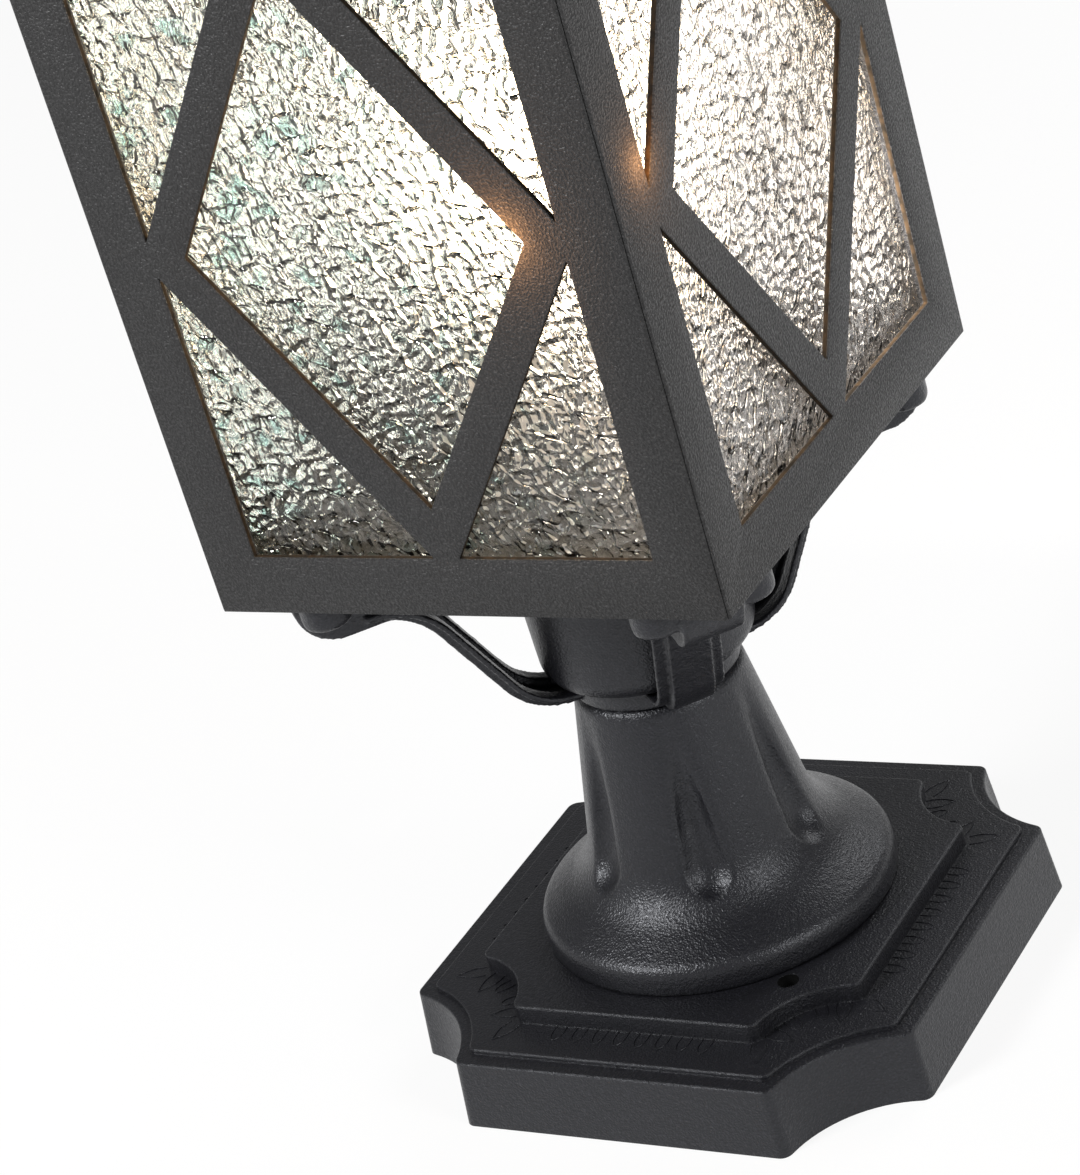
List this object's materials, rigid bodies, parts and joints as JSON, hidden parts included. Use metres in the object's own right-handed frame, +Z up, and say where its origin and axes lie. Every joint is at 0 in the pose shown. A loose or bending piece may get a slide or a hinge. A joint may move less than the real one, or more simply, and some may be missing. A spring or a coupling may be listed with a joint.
{
  "type": "outdoor post lamp",
  "caption": "Square outdoor post lamp with lattice sides over rippled glass, on a cast yoke, fluted column and stepped pier base.",
  "frame": {"origin": "middle of the pier base's underside, on the floor", "axes": "+Z up along the column, X and Y across the lantern's sides, -Y to the front side"},
  "size_m": [0.184, 0.184, 0.489],
  "materials": {
    "cast_black": "satin",
    "sheet_black": "fine texture, matte",
    "rippled_glass": "rippled, clear",
    "zinc_steel": "zinc plated",
    "holder_ceramic": "glazed",
    "shell_brass": "plain",
    "bulb_glass": "frosted, warm white"
  },
  "bodies": {
    "root": {"pier_base": "cast_black", "column": "cast_black", "yoke": "cast_black", "hub_cup": "cast_black", "finial": "cast_black", "floor_plate": "sheet_black", "top_frame": "sheet_black", "roof": "sheet_black", "side_panel_front": "sheet_black", "side_panel_right": "sheet_black", "side_panel_back": "sheet_black", "side_panel_left": "sheet_black", "corner_post_front_right": "sheet_black", "corner_post_back_right": "sheet_black", "corner_post_back_left": "sheet_black", "corner_post_front_left": "sheet_black", "glass_pane_front": "rippled_glass", "glass_pane_right": "rippled_glass", "glass_pane_back": "rippled_glass", "glass_pane_left": "rippled_glass", "roof_bar": "zinc_steel", "roof_stud": "zinc_steel", "roof_nut": "zinc_steel", "centre_nipple": "zinc_steel", "base_nut": "zinc_steel", "base_washer": "zinc_steel", "floor_nut": "zinc_steel", "floor_washer": "zinc_steel", "post_screws": "zinc_steel", "lamp_holder": "holder_ceramic", "screw_shell": "shell_brass", "bulb": "bulb_glass"}
  },
  "joints": []
}
